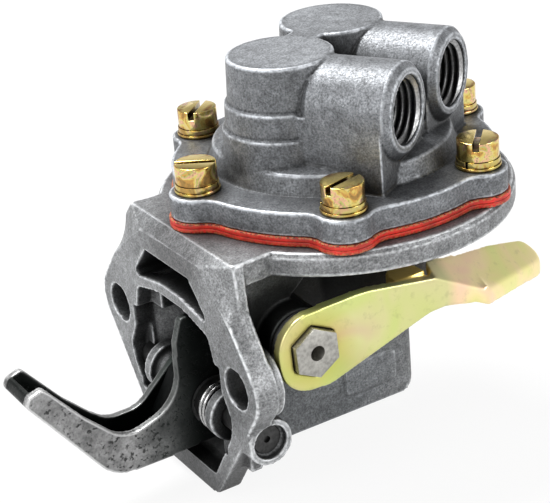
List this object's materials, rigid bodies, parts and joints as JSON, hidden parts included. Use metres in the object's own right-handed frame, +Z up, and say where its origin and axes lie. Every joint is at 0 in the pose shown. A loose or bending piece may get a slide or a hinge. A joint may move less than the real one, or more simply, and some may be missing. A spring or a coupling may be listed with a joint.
{
  "type": "mechanical fuel lift pump",
  "caption": "Flange-mounted diaphragm fuel pump with a curved rocker arm, two threaded ports on the cover and a hand priming lever at the side.",
  "frame": {"origin": "the middle of the two bolt holes, on the machined mounting face of the flange", "axes": "+Z up the diaphragm's axis towards the cover, +X from the mounting flange into the pump, +Y along the rocker pin, away from the priming lever"},
  "size_m": [0.1199, 0.076, 0.0876],
  "materials": {
    "body_casting": "sand-grained aluminium casting, as cast",
    "cover_casting": "shot-blasted aluminium die casting",
    "diaphragm": "red rubber-coated fabric",
    "plain_steel": "plain steel",
    "spring_steel": "bright spring wire",
    "seal_rubber": "black rubber",
    "valve_rubber": "black valve rubber",
    "brass": "turned brass",
    "arm_steel": "dark hardened steel with bright rubbed edges",
    "shaft_steel": "ground steel",
    "lever_zinc": "yellow passivated zinc plate",
    "screw_zinc": "iridescent yellow zinc plate"
  },
  "bodies": {
    "pump": {"pump_body": "body_casting", "top_cover": "cover_casting", "diaphragm_lower_layer": "diaphragm", "diaphragm_upper_layer": "diaphragm", "diaphragm_spring": "spring_steel", "rod_seal": "seal_rubber", "seal_retainer": "plain_steel", "outlet_seat": "brass", "outlet_cage": "plain_steel", "outlet_spring": "spring_steel", "outlet_gasket": "seal_rubber", "inlet_seat": "brass", "inlet_cage": "plain_steel", "inlet_spring": "spring_steel", "inlet_gasket": "seal_rubber", "rocker_pin": "plain_steel", "pin_washers": "plain_steel", "shaft_seal_ring": "seal_rubber", "cover_screws": "screw_zinc", "plain_washers": "screw_zinc", "spring_washers": "screw_zinc"},
    "rocker": {"rocker_arm": "arm_steel", "rocker_spring": "spring_steel"},
    "link": {"link_lever": "plain_steel"},
    "diaphragm": {"pull_rod": "plain_steel", "upper_plate": "plain_steel", "lower_plate": "plain_steel"},
    "priming": {"priming_shaft": "shaft_steel", "priming_lever": "lever_zinc"},
    "outlet_valve": {"outlet_disc": "valve_rubber"},
    "inlet_valve": {"inlet_disc": "valve_rubber"}
  },
  "joints": [
    {"name": "rocker_swing", "type": "hinge", "parent": "pump", "child": "rocker", "pos_m": [0.0047, 0, -0.0123], "axis": [0, 1, 0], "range_deg": [0, 6.5], "stiffness_Nm_per_rad": 0.6, "springref_deg": -20.05},
    {"name": "link_swing", "type": "hinge", "parent": "pump", "child": "link", "pos_m": [0.0047, 0, -0.0123], "axis": [0, 1, 0], "range_deg": [0, 6.5]},
    {"name": "diaphragm_stroke", "type": "slide", "parent": "pump", "child": "diaphragm", "axis": [0, 0, -1], "range_m": [0, 0.00425], "deforming": ["diaphragm_spring", "diaphragm_lower_layer", "diaphragm_upper_layer"]},
    {"name": "priming_swing", "type": "hinge", "parent": "pump", "child": "priming", "pos_m": [0.0154, -0.0279, 0.0052], "axis": [0, 1, 0], "range_deg": [-3, 22]},
    {"name": "outlet_valve_lift", "type": "slide", "parent": "pump", "child": "outlet_valve", "axis": [0, 0, 1], "range_m": [0, 0.0015], "stiffness_N_per_m": 60, "springref_m": -0.003, "deforming": ["outlet_spring"]},
    {"name": "inlet_valve_lift", "type": "slide", "parent": "pump", "child": "inlet_valve", "axis": [0, 0, -1], "range_m": [0, 0.0015], "stiffness_N_per_m": 60, "springref_m": -0.003, "deforming": ["inlet_spring"]}
  ],
  "couplings": [
    {"joint": "link_swing", "follows": "rocker_swing", "ratio": 1},
    {"joint": "diaphragm_stroke", "follows": "rocker_swing", "m_per_rad": 0.0372}
  ]
}
